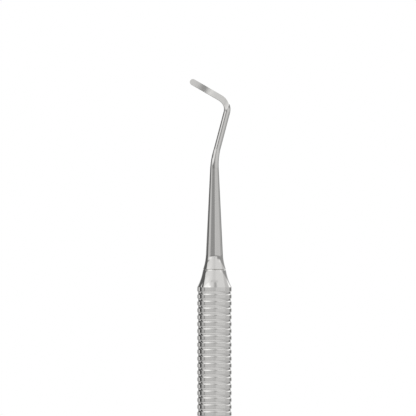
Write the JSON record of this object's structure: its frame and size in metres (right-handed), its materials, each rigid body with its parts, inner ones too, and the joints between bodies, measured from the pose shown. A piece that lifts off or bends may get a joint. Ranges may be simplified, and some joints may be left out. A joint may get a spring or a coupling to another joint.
{
  "type": "dental elevator",
  "caption": "Double-ended dental elevator: slim round hollow handle with turned grip rings and an angled, flat, round-ended blade at each end.",
  "frame": {"origin": "middle of the handle's smooth centre band, on the handle's axis", "axes": "+Z along the handle towards the first working end, whose blade points to -X with its ground face to -Y"},
  "size_m": [0.0114, 0.008, 0.1766],
  "materials": {
    "handle_steel": "turned and polished stainless steel",
    "nose_steel": "polished stainless steel",
    "working_end_steel": "ground and polished stainless steel"
  },
  "bodies": {
    "root": {"handle_tube": "handle_steel", "upper_nose": "nose_steel", "lower_nose": "nose_steel", "upper_working_end": "working_end_steel", "lower_working_end": "working_end_steel"}
  },
  "joints": []
}
